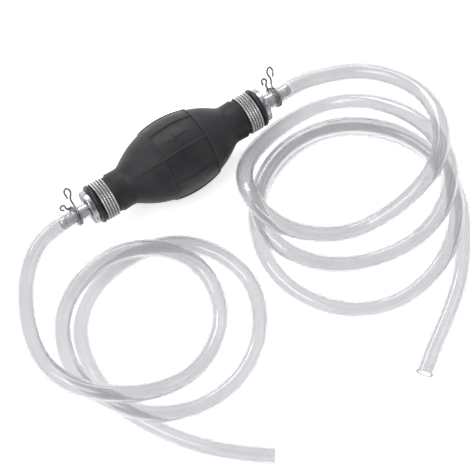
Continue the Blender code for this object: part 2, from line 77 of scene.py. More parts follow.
# %% Shared sizes
AXIS = 0.025  # height of the bulb's axis
BULB_RADIUS = 0.025
BELLY_ARC = 0.0616  # radius of the arc that the belly follows
NECK_RADIUS = 0.01265
NECK_START = 0.037
NECK_END = 0.0488
TAIL_END = 0.0572
TAIL_RADIUS = 0.0112
BORE_RADIUS = 0.0096
WALL = 0.003
COLLAR_START = 0.0491
COLLAR_END = 0.058
COLLAR_RADIUS = 0.013
O_RING_X = 0.06
O_RING_CORD = 0.0034
FLANGE_START = 0.062
FLANGE_END = 0.0654
FLANGE_RADIUS = 0.011
BARB_TIP = 0.0849
STEM_RADIUS = 0.0039  # just inside the bore of the hose
HOSE_START = 0.0664
HOSE_RADIUS = 0.0055
HOSE_BORE = 0.004
CLAMP_X = 0.0739
CLAMP_WIRE = 0.0012
GAP = 0.0003
SIDES = {"inlet": 1, "outlet": -1}  # which way each end points along X
print(f"barb tips {2 * BARB_TIP * 1000:.1f} mm apart, bulb {2 * BULB_RADIUS * 1000:.0f} mm across")

# %% [markdown]
# ## The camera
#
# The camera stands high in front of the object and a little to its left, and looks steeply down,
# far enough away that the near loops of hose don't look much bigger than the far ones. A long
# lens from further off could flatten the view still more, but the loops would then lose the
# slight growth towards the front that gives the floor its depth.

# %% Place the camera
CAMERA_AZIMUTH = math.radians(-33.7)
CAMERA_ELEVATION = math.radians(67.0)
CAMERA_AIM = np.array([0.0050, -0.0583, 0.0056])
CAMERA_DISTANCE = 1.1
CAMERA_LENS = 134.8  # millimetres
SENSOR_WIDTH = 36.0  # millimetres
CAMERA_REACH = 20.0


def direction(azimuth, elevation):
    """Unit vector (sin a cos e, -cos a cos e, sin e) from the object towards the camera."""
    flat = math.cos(elevation)
    return np.array([math.sin(azimuth) * flat, -math.cos(azimuth) * flat, math.sin(elevation)])


def facing_matrix(back):
    """Rotation whose columns are right = Z x back, up = back x right, and back itself."""
    right = np.cross([0.0, 0.0, 1.0], back)
    right /= np.linalg.norm(right)
    return np.stack([right, np.cross(back, right), back], axis=1)


def place(thing, spot, back):
    """Puts a camera or light at a spot, looking along -back."""
    matrix = np.eye(4)
    matrix[:3, :3] = facing_matrix(back)
    matrix[:3, 3] = spot
    thing.matrix_world = matrix.T.tolist()


camera = bpy.data.objects.new("camera", bpy.data.cameras.new("camera"))
camera.data.lens = CAMERA_LENS
camera.data.sensor_width = SENSOR_WIDTH
camera.data.clip_end = CAMERA_REACH
bpy.context.scene.collection.objects.link(camera)
bpy.context.scene.camera = camera
camera_back = direction(CAMERA_AZIMUTH, CAMERA_ELEVATION)
camera_spot = CAMERA_AIM + camera_back * CAMERA_DISTANCE
place(camera, camera_spot, camera_back)
print("camera at", np.round(camera_spot, 3))

# %% [markdown]
# ## One way to make every shape
#
# Each new piece is a grid of points: rows run along the piece and columns run round it. The
# points are worked out as whole arrays, so a finer grid costs nothing in code. Blender's own
# Screw and Curve tools could make most of these shapes too, but a grid also takes ribs, knurling
# and texture coordinates in the same step.

# %% Grid to mesh
CURVE_STEPS = 20  # fine steps along a spline for each point it goes through


def grid_faces(rows, columns, round_columns, round_rows):
    """Quads of a grid: point (i, j) joins (i, j+1), (i+1, j+1) and (i+1, j), wrapping if round."""
    row = np.arange(rows if round_rows else rows - 1)
    column = np.arange(columns if round_columns else columns - 1)
    row, column = np.meshgrid(row, column, indexing="ij")
    corner_rows = np.stack([row, row, row + 1, row + 1], axis=-1).reshape(-1, 4)
    corner_columns = np.stack([column, column + 1, column + 1, column], axis=-1).reshape(-1, 4)
    return corner_rows, corner_columns


def faces_inward(points, faces):
    """Whether every face has to turn round: the signed volume, a sum of a . (b x c), is < 0."""
    a, b, c, d = (points[faces[:, k]] for k in range(4))
    volume = np.einsum("ij,ij->i", a, np.cross(b, c)).sum()
    volume += np.einsum("ij,ij->i", a, np.cross(c, d)).sum()
    return volume < 0


def make_piece(name, grid, material, body, round_rows=True, round_columns=True,
               along=None, caps=(), sharp=40.0):
    """A mesh from a grid of points (rows, columns, 3), smooth except at edges over sharp degrees.

    along gives each row's texture coordinate v in metres; u goes from 0 to 1 round a row. caps
    are lists of point numbers that close an open end with one face each.
    """
    rows, columns = grid.shape[:2]
    points = grid.reshape(-1, 3)
    corner_rows, corner_columns = grid_faces(rows, columns, round_columns, round_rows)
    faces = (corner_rows % rows) * columns + corner_columns % columns
    if faces_inward(points - points.mean(axis=0), faces):
        faces = faces[:, ::-1]
        corner_rows, corner_columns = corner_rows[:, ::-1], corner_columns[:, ::-1]
    mesh = bpy.data.meshes.new(name)
    mesh.from_pydata(points.tolist(), [], faces.tolist() + [list(cap) for cap in caps])
    along = np.arange(rows) if along is None else np.asarray(along)
    along = np.append(along, along[-1])
    u = corner_columns.ravel() / columns
    v = along[corner_rows.ravel()]
    spare = sum(len(cap) for cap in caps)
    uv = np.concatenate([np.stack([u, v], axis=1), np.zeros((spare, 2))])
    layer = mesh.uv_layers.new(name="surface")
    layer.data.foreach_set("uv", uv.astype(np.float32).ravel())
    mesh.shade_smooth()
    mesh.set_sharp_from_angle(angle=math.radians(sharp))
    mesh.materials.append(material)
    piece = bpy.data.objects.new(name, mesh)
    bpy.context.scene.collection.objects.link(piece)
    if body:
        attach(piece, body)
    print(f"{name}: {len(points)} points, {len(mesh.polygons)} faces")
    return piece


def fix_outward(piece):
    """Makes all faces of a closed piece point out, its flat caps included."""
    shape = bmesh.new()
    shape.from_mesh(piece.data)
    bmesh.ops.recalc_face_normals(shape, faces=shape.faces)
    shape.to_mesh(piece.data)
    shape.free()


def rings(line, radius, angles, side, top):
    """Rings on a line: line + radius (cos t side + sin t top), radius given for each point."""
    cosine, sine = np.cos(angles)[None, :, None], np.sin(angles)[None, :, None]
    ring = cosine * side[:, None] + sine * top[:, None]
    return line[:, None] + np.asarray(radius)[:, None, None] * ring


def turn(outline, angles, radius_change=None):
    """Surface of revolution about the bulb's axis: (x, r cos t, AXIS + r sin t).

    outline holds rows of (x, radius), and radius_change, if given, is added to the radius and
    has one value for each row and angle.
    """
    radius = outline[:, 1][:, None] + (0.0 if radius_change is None else radius_change)
    x = np.broadcast_to(outline[:, 0][:, None], (len(outline), len(angles)))
    radius = np.broadcast_to(radius, x.shape)
    return np.stack([x, radius * np.cos(angles), AXIS + radius * np.sin(angles)], axis=-1)


def round_corners(corners, cut, count=5):
    """Replaces each corner P of a closed outline by the curve (1-t)^2 A + 2t(1-t) P + t^2 B.

    A and B lie on the two sides, cut metres from the corner, so the curve touches both sides.
    """
    corners = np.asarray(corners, dtype=float)
    cut = np.broadcast_to(np.asarray(cut, dtype=float), len(corners))[:, None]
    before = np.roll(corners, 1, axis=0) - corners
    after = np.roll(corners, -1, axis=0) - corners
    a = corners + before / np.linalg.norm(before, axis=1)[:, None] * cut
    b = corners + after / np.linalg.norm(after, axis=1)[:, None] * cut
    t = np.linspace(0.0, 1.0, count)[None, :, None]
    curve = (1 - t) ** 2 * a[:, None] + 2 * t * (1 - t) * corners[:, None] + t**2 * b[:, None]
    return curve.reshape(-1, 2)


def full_turn(count):
    """Angles of a whole turn, the last one short of the first."""
    return np.arange(count) * 2 * np.pi / count


def run_length(line):
    """Distance along a line to each of its points."""
    steps = np.linalg.norm(np.diff(line, axis=0), axis=1)
    return np.concatenate([[0.0], np.cumsum(steps)])


def smooth_curve(points, count):
    """Evenly spaced points on the natural cubic spline through the given ones.

    Each span's curve is a cubic whose second derivative runs straight from knot to knot, and is
    zero at both ends. The knots stand the square root of a chord apart.
    """
    points = np.array(points, dtype=float)
    chords = np.linalg.norm(np.diff(points, axis=0), axis=1)
    knots = np.concatenate([[0.0], np.cumsum(np.sqrt(chords))])
    steps = np.diff(knots)
    size = len(knots)
    slopes = np.diff(points, axis=0) / steps[:, None]
    system = np.eye(size)
    inner = np.arange(1, size - 1)
    system[inner, inner - 1] = steps[:-1]
    system[inner, inner] = 2 * (steps[:-1] + steps[1:])
    system[inner, inner + 1] = steps[1:]
    target = np.zeros((size, 3))
    target[1:-1] = 6 * np.diff(slopes, axis=0)
    bend = np.linalg.solve(system, target)
    fine = np.linspace(0.0, knots[-1], CURVE_STEPS * size)
    span = np.clip(np.searchsorted(knots, fine, side="right") - 1, 0, size - 2)
    step = steps[span][:, None]
    after = (knots[span + 1] - fine)[:, None]
    before = (fine - knots[span])[:, None]
    line = (bend[span] * after**3 + bend[span + 1] * before**3) / (6 * step)
    line += (points[span] / step - bend[span] * step / 6) * after
    line += (points[span + 1] / step - bend[span + 1] * step / 6) * before
    length = run_length(line)
    even = np.linspace(0.0, length[-1], count)
    return np.stack([np.interp(even, length, line[:, i]) for i in range(3)], axis=1)


# %% [markdown]
# ## Node trees in a few lines
#
# A finish is a small tree of nodes. These helpers add a node, set its sockets and join them, so
# that each finish below reads as a list of what it does. All patterns read object coordinates,
# which are metres on every piece here, so a pattern keeps its real size.

# %% Helpers for finishes
MIX_SHARE, MIX_FIRST, MIX_SECOND, MIX_RESULT = 0, 6, 7, 2  # a Mix node's sockets for colours


def srgb(red, green, blue):
    """Linear colour from screen values 0-255: v/12.92 up to 0.04045, else ((v+0.055)/1.055)^2.4."""
    value = np.array([red, green, blue]) / 255.0
    value = np.where(value <= 0.04045, value / 12.92, ((value + 0.055) / 1.055) ** 2.4)
    return (*value.tolist(), 1.0)


def new_finish(name, **sockets):
    """A material with one Principled shader, and the plain values of its sockets."""
    finish = bpy.data.materials.new(name)
    finish.use_nodes = True
    shader = finish.node_tree.nodes["Principled BSDF"]
    for socket, value in sockets.items():
        shader.inputs[socket.replace("_", " ")].default_value = value
    return finish, finish.node_tree, shader


def add(tree, kind, links=(), **values):
    """A node with its settings and socket values; links are (socket, output) pairs.

    A key that is the node's own property sets it, and any other key names a socket.
    """
    node = tree.nodes.new(kind)
    for key, value in values.items():
        if hasattr(node, key):
            setattr(node, key, value)
        else:
            node.inputs[key.replace("_", " ")].default_value = value
    for socket, output in links:
        tree.links.new(output, node.inputs[socket])
    return node


def object_place(tree, lift=0.0):
    """Object coordinates, measured from a point lift above the floor."""
    where = add(tree, "ShaderNodeTexCoord").outputs["Object"]
    return add(
        tree, "ShaderNodeMapping", [("Vector", where)], Location=(0.0, 0.0, -lift)
    ).outputs["Vector"]


def noise(tree, where, size, detail=3.0, roughness=0.55):
    """Cloudy pattern with lumps of about size metres."""
    return add(
        tree, "ShaderNodeTexNoise", [("Vector", where)], Scale=1.0 / size, Detail=detail,
        Roughness=roughness,
    ).outputs["Fac"]


def remap(tree, value, low=0.0, high=1.0, start=0.35, end=0.65):
    """Sends start..end of a pattern to low..high, and clamps it there."""
    node = add(tree, "ShaderNodeMapRange", [("Value", value)])
    sockets = {"From Min": start, "From Max": end, "To Min": low, "To Max": high}
    for socket, number in sockets.items():
        node.inputs[socket].default_value = number
    return node.outputs["Result"]


def between(tree, share, first, second):
    """The colour from first to second, by a share from 0 to 1. Each is a colour or an output."""
    node = add(tree, "ShaderNodeMix", [(MIX_SHARE, share)], data_type="RGBA")
    for socket, colour in ((MIX_FIRST, first), (MIX_SECOND, second)):
        if isinstance(colour, tuple):
            node.inputs[socket].default_value = colour
        else:
            tree.links.new(colour, node.inputs[socket])
    return node.outputs[MIX_RESULT]


def bump(tree, shader, height, depth, strength):
    """Dents the shader's normal by a pattern that stands depth metres high."""
    node = add(tree, "ShaderNodeBump", [("Height", height)], Strength=strength, Distance=depth)
    tree.links.new(node.outputs["Normal"], shader.inputs["Normal"])


print("helpers ready")

# %% [markdown]
# ## The hoses
#
# Clear vinyl hose, 11 mm outside with an 8 mm bore, comes off a reel and keeps its curl, so each
# length lies in loose loops that rest on each other. A curve with a bevel would give a solid rod.
# Here a ring is carried along the path twice, outside going there and inside coming back, so the
# hose is a real tube with a wall that light passes through.

# %% Hose routes
# Points (x, y, z) that the middle of each hose goes through, from past its barb to its cut end.
OUTLET_ROUTE = (
    (-0.096, -0.0015, 0.025), (-0.108, -0.007, 0.025), (-0.122, -0.0205, 0.0245),
    (-0.134, -0.042, 0.024), (-0.140, -0.067, 0.026), (-0.134, -0.092, 0.029),
    (-0.117, -0.111, 0.030), (-0.094, -0.122, 0.026), (-0.069, -0.123, 0.019),
    (-0.048, -0.1135, 0.012), (-0.0325, -0.098, 0.008), (-0.0255, -0.075, 0.009),
    (-0.0325, -0.053, 0.014), (-0.051, -0.038, 0.0178), (-0.074, -0.032, 0.0178),
    (-0.098, -0.0365, 0.015), (-0.1145, -0.0485, 0.013), (-0.1245, -0.0675, 0.0145),
    (-0.1265, -0.090, 0.0175), (-0.117, -0.114, 0.018), (-0.101, -0.131, 0.0165),
    (-0.079, -0.140, 0.012), (-0.054, -0.140, 0.008), (-0.030, -0.130, 0.0057),
    (-0.012, -0.111, 0.0057), (-0.005, -0.087, 0.0057), (-0.011, -0.063, 0.0057),
    (-0.026, -0.045, 0.0057), (-0.047, -0.036, 0.0057), (-0.071, -0.036, 0.0057),
    (-0.093, -0.044, 0.0057), (-0.109, -0.059, 0.0057), (-0.116, -0.080, 0.0057),
    (-0.116, -0.103, 0.0057), (-0.109, -0.126, 0.0057), (-0.097, -0.147, 0.0057),
    (-0.081, -0.167, 0.0057), (-0.062, -0.184, 0.0057), (-0.054, -0.190, 0.0057),
)
INLET_ROUTE = (
    (0.096, -0.001, 0.025), (0.109, -0.005, 0.0255), (0.127, -0.0145, 0.0275),
    (0.142, -0.032, 0.0315), (0.149, -0.055, 0.037), (0.145, -0.077, 0.0415),
    (0.1325, -0.0945, 0.0415), (0.112, -0.104, 0.035), (0.088, -0.105, 0.024),
    (0.0645, -0.100, 0.0165), (0.0435, -0.091, 0.021), (0.0275, -0.0765, 0.028),
    (0.0215, -0.0545, 0.0300), (0.029, -0.033, 0.0235), (0.050, -0.018, 0.012),
    (0.080, -0.012, 0.0057), (0.108, -0.0175, 0.0085), (0.128, -0.036, 0.0175),
    (0.138, -0.059, 0.026), (0.141, -0.082, 0.0300), (0.134, -0.105, 0.0305),
    (0.118, -0.120, 0.0255), (0.097, -0.126, 0.017), (0.074, -0.123, 0.011),
    (0.051, -0.115, 0.011), (0.032, -0.101, 0.0145), (0.021, -0.081, 0.0175),
    (0.0225, -0.059, 0.0178), (0.038, -0.041, 0.0178), (0.064, -0.031, 0.0178),
    (0.092, -0.034, 0.0178), (0.113, -0.046, 0.0178), (0.129, -0.065, 0.0178),
    (0.136, -0.088, 0.0178), (0.133, -0.112, 0.0178), (0.120, -0.132, 0.0165),
    (0.101, -0.145, 0.012), (0.077, -0.151, 0.0075), (0.054, -0.148, 0.0057),
    (0.033, -0.136, 0.0057), (0.018, -0.116, 0.0057), (0.012, -0.092, 0.0057),
    (0.017, -0.067, 0.0057), (0.031, -0.046, 0.0057), (0.053, -0.033, 0.0057),
    (0.078, -0.029, 0.0057), (0.102, -0.035, 0.0057), (0.122, -0.050, 0.0057),
    (0.135, -0.070, 0.0057), (0.140, -0.094, 0.0057), (0.136, -0.117, 0.0057),
    (0.123, -0.138, 0.0057), (0.107, -0.157, 0.0057), (0.087, -0.173, 0.0057),
    (0.062, -0.189, 0.0057), (0.050, -0.1975, 0.0057),
)

# %% Clear vinyl
TIGHT_END, LOOSE_START = 0.018, 0.02  # distances along the hose, near the barb's tip
DIE_LINES = (60.0, 12.0, 1.0)  # fine round the hose, and slow to change along it


def clear_vinyl():
    """Clear plastic with fine lines along it from the die: faintly cloudy where it is loose, and
    clearer where it is stretched tight over the barb."""
    finish, tree, shader = new_finish(
        "clear_vinyl", Roughness=0.06, IOR=1.42, Transmission_Weight=0.86,
        Specular_IOR_Level=0.6,
    )
    clouds = noise(tree, object_place(tree), size=0.02, detail=2.0)
    cloudy = between(tree, clouds, srgb(217, 216, 218), srgb(210, 209, 211))
    surface = add(tree, "ShaderNodeUVMap", uv_map="surface").outputs["UV"]
    along = add(tree, "ShaderNodeSeparateXYZ", [("Vector", surface)]).outputs["Y"]
    loose = remap(tree, along, start=TIGHT_END, end=LOOSE_START)
    colour = between(tree, loose, srgb(234, 233, 236), cloudy)
    tree.links.new(colour, shader.inputs["Base Color"])
    lines = add(
        tree, "ShaderNodeMapping", [("Vector", surface)], Scale=DIE_LINES
    ).outputs["Vector"]
    bump(tree, shader, noise(tree, lines, size=1.0, detail=1.0), depth=0.00004, strength=0.4)
    return finish


VINYL = clear_vinyl()

# %% Carry a ring along each route
HOSE_STATIONS = {"outlet": 300, "inlet": 440}
HOSE_COLUMNS = 36
STRAIGHT_POINTS = 3  # of the path, over the barb
SWELL = 0.00015  # how far the barb stretches the hose
SWELL_END = BARB_TIP + 0.003
SWELL_FADE = 0.004
BORE_EASE = 0.00005  # keeps the wall off the stem


def level_frames(line):
    """Unit side and top vectors along a line: side = Z x tangent, top = tangent x side."""
    tangent = np.gradient(line, axis=0)
    tangent /= np.linalg.norm(tangent, axis=1)[:, None]
    side = np.cross([0.0, 0.0, 1.0], tangent)
    side /= np.linalg.norm(side, axis=1)[:, None]
    return side, np.cross(tangent, side)


def make_hose(end, route):
    """The tube wall: outer rings forward, inner rings back, stretched a little over the barb."""
    over_barb = np.linspace(HOSE_START, BARB_TIP, STRAIGHT_POINTS)
    straight = [(SIDES[end] * x, 0.0, AXIS) for x in over_barb]
    line = smooth_curve(straight + list(route), HOSE_STATIONS[end])
    length = run_length(line)
    on_barb = np.clip((SWELL_END - HOSE_START - length) / SWELL_FADE, 0.0, 1.0)
    swell = SWELL * on_barb**2 * (3 - 2 * on_barb)
    angles = full_turn(HOSE_COLUMNS)
    side, top = level_frames(line)
    outside = rings(line, HOSE_RADIUS + swell, angles, side, top)
    inside = rings(line, HOSE_BORE + BORE_EASE + swell, angles, side, top)
    grid = np.concatenate([outside, inside[::-1]])
    along = np.concatenate([length, length[::-1]])
    hose = make_piece(f"clear_{end}_hose", grid, VINYL, "root", along=along)
    hose.visible_shadow = False  # clear vinyl lets the light through to the floor
    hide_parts(f"{end}_hose")
    print(f"{end} hose is {length[-1]:.3f} m long")


make_hose("outlet", OUTLET_ROUTE)
make_hose("inlet", INLET_ROUTE)

# %% [markdown]
# ## The rubber bulb
#
# The bulb is one moulding with thick walls: a belly that follows an arc from end to end, two
# necks, and raised ribs that stop wet fingers slipping. Ribs could be separate pieces, but then
# they wouldn't flow into the rubber. Here they are added to the radius, so they stay part of one
# skin. The bulb is made in a front and a back half that meet in the upright plane through the
# axis, and each half stands in for one of the CAD's two squeezed walls.

# %% Black rubber
def black_rubber():
    """Matt moulded rubber: slight bloom in patches, and a fine grain."""
    finish, tree, shader = new_finish("black_rubber", Specular_IOR_Level=0.35)
    where = object_place(tree)
    bloom = remap(tree, noise(tree, where, size=0.018, detail=4.0))
    colour = between(tree, bloom, srgb(36, 36, 39), srgb(47, 47, 51))
    tree.links.new(colour, shader.inputs["Base Color"])
    worn = remap(tree, noise(tree, where, size=0.012, detail=5.0), low=0.46, high=0.58)
    tree.links.new(worn, shader.inputs["Roughness"])
    grain = noise(tree, where, size=0.0005, detail=2.0)
    bump(tree, shader, grain, depth=0.00003, strength=0.35)
    return finish


RUBBER = black_rubber()

# %% Ribs, rings and the flow arrow as heights on the skin
RIB_HEIGHT = 0.0008
RIB_HALF = 0.00095
RIB_FLANK = 0.0005  # how much of that half is its sloping side
RING_RIBS = (-0.0136, 0.0177)
LONG_RIB_ANGLE = 109.45  # degrees from +Y towards +Z
RIB_SPACING = 45.0
LONG_RIB_ENDS = (-0.032, 0.0264)  # of the uppermost rib and the one opposite it
HALF_TURN = 180.0
BELLY_END = 0.045  # past this the belly's arc is not needed
ARROW_ANGLE = 87.95
ARROW_TAIL = 0.0095
ARROW_TIP = -0.0057
ARROW_HEAD = 0.0052
ARROW_NOTCH = 0.8  # share of the head at which the shaft ends
ARROW_HALF = 0.0032
ARROW_EDGE = 0.0002  # half the width of its sloping side
ARROW_SHARE = 0.5  # of the ribs' height
SHAFT_HALF = 0.0006


def ramp(value, edge):
    """Smooth step down: 1 up to 0, 0 past edge, and 1 - (3t^2 - 2t^3) between, t = value/edge."""
    t = np.clip(value / edge, 0.0, 1.0)
    return 1.0 - t * t * (3.0 - 2.0 * t)


def belly(x):
    """Belly radius: R - A + sqrt(A^2 - x^2), an arc of radius A whose top is at R."""
    x = np.minimum(np.abs(x), BELLY_END)
    return BULB_RADIUS - BELLY_ARC + np.sqrt(BELLY_ARC**2 - x**2)


def skin_height(x, angle):
    """Height of the raised marks at distance x and an angle in degrees, as the highest of them."""
    radius = belly(x)
    off_ring = np.minimum(np.abs(x - RING_RIBS[0]), np.abs(x - RING_RIBS[1]))
    height = ramp(off_ring - RIB_HALF + RIB_FLANK, RIB_FLANK)
    off = (angle - LONG_RIB_ANGLE + RIB_SPACING / 2) % RIB_SPACING - RIB_SPACING / 2
    side = np.abs(np.radians(off)) * BULB_RADIUS
    ends = np.maximum(RING_RIBS[0] - x, x - RING_RIBS[1])
    long_off = (angle - LONG_RIB_ANGLE + HALF_TURN / 2) % HALF_TURN - HALF_TURN / 2
    long_ends = np.maximum(LONG_RIB_ENDS[0] - x, x - LONG_RIB_ENDS[1])
    ends = np.where(np.abs(long_off) < RIB_SPACING / 2, long_ends, ends)
    away = np.hypot(side, np.maximum(ends, 0.0))
    height = np.maximum(height, ramp(away - RIB_HALF + RIB_FLANK, RIB_FLANK))
    across = np.abs(np.radians(angle - ARROW_ANGLE)) * radius
    shaft_ends = np.maximum(ARROW_TIP + ARROW_HEAD * ARROW_NOTCH - x, x - ARROW_TAIL)
    shaft = np.maximum(across - SHAFT_HALF, shaft_ends)
    slope = ARROW_HALF / ARROW_HEAD
    flank = (across - (x - ARROW_TIP) * slope) / math.hypot(1.0, slope)
    head = np.maximum(flank, x - ARROW_TIP - ARROW_HEAD)
    arrow = ramp(np.minimum(shaft, head) + ARROW_EDGE, 2 * ARROW_EDGE)
    return RIB_HEIGHT * np.maximum(height, arrow * ARROW_SHARE)


# %% The bulb's outline and its two halves
SKIN_END = NECK_START + 0.002
ROW_STEP, RIB_ROW_REACH, RIB_ROW_STEP = 0.0011, 0.0015, 0.0002
ARROW_CLEARING, ARROW_ROWS, ARROW_ROW_STEP = (-0.0069, 0.0106), (-0.0065, 0.0103), 0.0003
COLUMN_STEP, RIB_COLUMN_REACH, RIB_COLUMN_STEP = 2.0, 3.2, 0.45  # degrees
ARROW_WEDGE, ARROW_COLUMNS, ARROW_COLUMN_STEP = (78.2, 98.1), (78.5, 98.0), 0.5  # degrees
CUT_MARGIN = 0.2  # degrees kept free beside the cut between the halves
PLAIN_BELLY = 0.03  # up to here the belly is its arc, and past it the arc flows into the neck
NECK_FLOW = 0.0006  # radius over which they flow together
FLOW_DROP = 0.1  # share of it taken off again, because the flowing curve lies above both
NECK_ROWS = (0.0405, 0.0438, 0.0452, 0.0459, 0.0462, 0.04635, 0.0466, 0.0475, 0.0486, NECK_END)
NECK_STEPS = (0.0, 0.1, 0.2, 0.2, 0.1, -0.5, -0.75, -0.7, -0.7, -0.8)  # millimetres, bead and step
INNER_END, INNER_ROWS = 0.042, 45
MOST_RIBS = 8  # spacings to go each way, enough for any half
CLOSEST = 0.7  # least distance between two rows, as a share of the fine step


def spaced(values, least):
    """Sorted values without those that follow another by less than least."""
    return values[np.concatenate([[True], np.diff(values) >= least])]


def thick_near(start, stop, step, places, reach, fine):
    """Steps from start to stop, with finer ones within reach of each place.

    The last coarse step is at least a third of the others.
    """
    near = np.concatenate([np.arange(-reach, reach + fine / 2, fine) + place for place in places])
    values = np.sort(near[(near > start + fine / 2) & (near < stop - fine / 2)])
    values = spaced(values, fine * CLOSEST)
    coarse = np.arange(start, stop - step / 3, step)
    clear = np.abs(coarse[:, None] - values[None, :]).min(axis=1) > fine * CLOSEST
    clear[0] = True
    return np.sort(np.concatenate([coarse[clear], values, [stop]]))


def bulb_outline():
    """(x, radius) round the wall's section, and which of the points lie on the outer skin.

    Belly and neck flow together as neck + flow ln(1 + e^((belly - neck) / flow)).
    """
    x = thick_near(-SKIN_END, SKIN_END, ROW_STEP, RING_RIBS, RIB_ROW_REACH, RIB_ROW_STEP)
    x = x[(x < ARROW_CLEARING[0]) | (x > ARROW_CLEARING[1])]
    x = np.sort(np.concatenate([x, np.arange(*ARROW_ROWS, ARROW_ROW_STEP)]))
    flowing = NECK_RADIUS + NECK_FLOW * np.logaddexp(0.0, (belly(x) - NECK_RADIUS) / NECK_FLOW)
    flowing = np.maximum(flowing - NECK_FLOW * FLOW_DROP, NECK_RADIUS)
    radius = np.where(np.abs(x) < PLAIN_BELLY, belly(x), flowing)
    neck_x = np.append(NECK_ROWS, NECK_END)
    neck_r = np.append(NECK_RADIUS + np.array(NECK_STEPS) / 1000, TAIL_RADIUS)
    right = np.stack([np.append(neck_x, TAIL_END), np.append(neck_r, TAIL_RADIUS)], axis=1)
    left = right[::-1] * [-1.0, 1.0]
    skin = np.stack([x, radius], axis=1)
    inner_x = np.linspace(INNER_END, -INNER_END, INNER_ROWS)
    inner_x = np.concatenate([[TAIL_END], inner_x, [-TAIL_END]])
    inner_r = np.maximum(belly(inner_x) - WALL, BORE_RADIUS)
    inner = np.stack([inner_x, inner_r], axis=1)
    outline = np.concatenate([left, skin, right, inner])
    on_skin = np.zeros(len(outline), dtype=bool)
    on_skin[len(left) : len(left) + len(skin)] = True
    return outline, on_skin


def make_half(name, first_angle, nodes):
    """Half the bulb: angles from first_angle to first_angle + 180 degrees, closed at both cuts."""
    last_angle = first_angle + HALF_TURN
    ribs = LONG_RIB_ANGLE + RIB_SPACING * np.arange(-MOST_RIBS, MOST_RIBS)
    angle = thick_near(
        first_angle, last_angle, COLUMN_STEP, ribs, RIB_COLUMN_REACH, RIB_COLUMN_STEP
    )
    arrow = np.arange(*ARROW_COLUMNS, ARROW_COLUMN_STEP)
    arrow = arrow[(arrow > first_angle + CUT_MARGIN) & (arrow < last_angle - CUT_MARGIN)]
    by_arrow = (angle > ARROW_WEDGE[0]) & (angle < ARROW_WEDGE[1])
    at_cut = (angle == first_angle) | (angle == last_angle)
    angle = np.sort(np.concatenate([angle[at_cut | ~by_arrow], arrow]))
    outline, on_skin = bulb_outline()
    height = skin_height(outline[:, 0][:, None], angle[None, :]) * on_skin[:, None]
    grid = turn(outline, np.radians(angle), height)
    rows, columns = grid.shape[:2]
    first_cut = np.arange(rows) * columns
    caps = [first_cut[::-1], first_cut + columns - 1]
    half = make_piece(
        name, grid, RUBBER, None, round_columns=False, caps=caps, sharp=60.0
    )
    fix_outward(half)
    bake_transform(half)
    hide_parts(*nodes)


make_half("bulb_front_half", 90.0, ("bulb", "front_squeeze_wall"))
make_half("bulb_back_half", -90.0, ("bulb", "back_squeeze_wall"))

# %% [markdown]
# ## The aluminium collars
#
# A collar clamps the neck on the valve body. It is turned from bar with five ridges, and each
# ridge is knurled so that it can be gripped. A bump map could suggest the knurling, but its edge
# against the light would stay smooth. The teeth here are in the shape: a small wave round each
# ridge is added to the radius.

# %% Turned aluminium
TOOL_MARKS = 4000.0  # in a metre


def turned_aluminium(name, low, high, tints, groove=None):
    """Bright metal with tool marks: fine rings that depend on distance along and from the axis.

    low and high are the least and most roughness, and the colour lies between the two tints.
    With groove, a pair of radii, the metal is painted darker below the first and keeps its
    tints above the second: painted shade at the bottom of the grooves.
    """
    finish, tree, shader = new_finish(name, Metallic=1.0, Specular_Tint=srgb(150, 150, 154))
    centred = object_place(tree, lift=AXIS)
    split = add(tree, "ShaderNodeSeparateXYZ", [("Vector", centred)])
    flat = add(tree, "ShaderNodeCombineXYZ", [("Y", split.outputs["Y"]), ("Z", split.outputs["Z"])])
    radius = add(tree, "ShaderNodeVectorMath", [("Vector", flat.outputs[0])], operation="LENGTH")
    along = add(tree, "ShaderNodeMath", operation="ADD")
    tree.links.new(split.outputs["X"], along.inputs[0])
    tree.links.new(radius.outputs["Value"], along.inputs[1])
    marks = add(
        tree, "ShaderNodeTexNoise", [("W", along.outputs[0])], noise_dimensions="1D",
        Scale=TOOL_MARKS, Detail=2.0,
    ).outputs["Fac"]
    patches = noise(tree, centred, size=0.006)
    colour = between(tree, remap(tree, patches), *tints)
    if groove:
        # Painted shade: the colour turns dark grey towards the bottom of the grooves.
        unshaded_share = remap(tree, radius.outputs["Value"], start=groove[0], end=groove[1])
        colour = between(tree, unshaded_share, srgb(104, 103, 107), colour)
    tree.links.new(colour, shader.inputs["Base Color"])
    tree.links.new(remap(tree, patches, low, high), shader.inputs["Roughness"])
    bump(tree, shader, marks, depth=0.00003, strength=0.5)
    return finish


BRIGHT = (srgb(196, 196, 200), srgb(207, 207, 210))
# The collars' tints are a lighter copy of the same aluminium, so their ridges read brighter:
# painted light.
PAINTED_LIGHT_TINTS = (srgb(216, 216, 219), srgb(228, 228, 230))
ALUMINIUM = turned_aluminium("turned_aluminium", 0.22, 0.33, BRIGHT)
KNURLED = turned_aluminium("knurled_aluminium", 0.24, 0.36, PAINTED_LIGHT_TINTS, groove=(0.0123, 0.0128))

# %% Collars with knurled ridges
RIDGES = 5
RIDGE_DEPTH = 0.0011
COLLAR_ROWS = 81
CROWN_EASE = 0.0001  # how far the crowns stay below the full radius
TEETH = 60
TOOTH_HEIGHT = 0.0003
TOOTH_COLUMNS = 6
TOOTH_START, TOOTH_FADE = 0.7, 0.3  # the bulge at which teeth start, and until they are full


